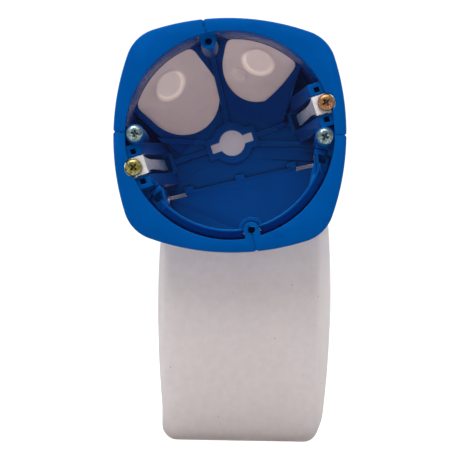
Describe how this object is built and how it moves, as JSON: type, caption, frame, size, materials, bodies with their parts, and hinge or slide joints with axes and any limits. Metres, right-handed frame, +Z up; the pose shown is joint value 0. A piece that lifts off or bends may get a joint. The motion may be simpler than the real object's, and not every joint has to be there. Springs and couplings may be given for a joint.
{
  "type": "flush-mounting wall box",
  "caption": "Round blue flush wall box with a rounded-square flange, airtight rear skin, two screw claws, a sliding shutter and a soft white module pocket hanging below.",
  "frame": {"origin": "centre of the box's flat rear face, on the barrel's axis", "axes": "+Z up the wall, +Y into the wall cavity, +X to the right as seen from the room"},
  "size_m": [0.0734, 0.0458, 0.1344],
  "materials": {
    "blue_shell": "satin moulded blue polypropylene",
    "blue_shutter": "satin moulded blue polypropylene",
    "soft_skin": "matt white thermoplastic elastomer",
    "soft_pocket": "matt white thermoplastic elastomer",
    "claw_steel": "bright zinc plated strip",
    "jaw_steel": "zinc plated pressing",
    "yellow_zinc": "yellow passivated zinc plate over steel",
    "clear_zinc": "blue-clear passivated zinc plate over steel"
  },
  "bodies": {
    "box": {"box_body": "blue_shell", "rear_skin": "soft_skin", "module_pocket": "soft_pocket", "left_claw_strap": "claw_steel", "right_claw_strap": "claw_steel"},
    "shutter": {"pocket_shutter": "blue_shutter"},
    "left_claw_turner": {"left_claw_screw": "yellow_zinc"},
    "right_claw_turner": {"right_claw_screw": "yellow_zinc"},
    "left_claw_grip": {"left_claw_jaw": "jaw_steel"},
    "right_claw_grip": {"right_claw_jaw": "jaw_steel"},
    "left_device_fixing": {"left_device_screw": "clear_zinc"},
    "right_device_fixing": {"right_device_screw": "clear_zinc"}
  },
  "joints": [
    {"name": "shutter_slide", "type": "slide", "parent": "box", "child": "shutter", "axis": [0, -1, 0], "range_m": [0, 0.045]},
    {"name": "left_claw_turn", "type": "hinge", "parent": "box", "child": "left_claw_turner", "pos_m": [-0.03017, 0, -0.01068], "axis": [0, 1, 0], "range_deg": [0, 4680]},
    {"name": "right_claw_turn", "type": "hinge", "parent": "box", "child": "right_claw_turner", "pos_m": [0.03017, 0, 0.01068], "axis": [0, 1, 0], "range_deg": [0, 4680]},
    {"name": "left_claw_travel", "type": "slide", "parent": "box", "child": "left_claw_grip", "axis": [0, -1, 0], "range_m": [0, 0.0195]},
    {"name": "right_claw_travel", "type": "slide", "parent": "box", "child": "right_claw_grip", "axis": [0, -1, 0], "range_m": [0, 0.0195]},
    {"name": "left_device_screw_out", "type": "slide", "parent": "box", "child": "left_device_fixing", "axis": [0, -1, 0], "range_m": [0, 0.01]},
    {"name": "right_device_screw_out", "type": "slide", "parent": "box", "child": "right_device_fixing", "axis": [0, -1, 0], "range_m": [0, 0.01]}
  ],
  "couplings": [
    {"joint": "left_claw_turn", "follows": "left_claw_travel", "rad_per_m": 4188.8},
    {"joint": "right_claw_turn", "follows": "right_claw_travel", "rad_per_m": 4188.8}
  ]
}
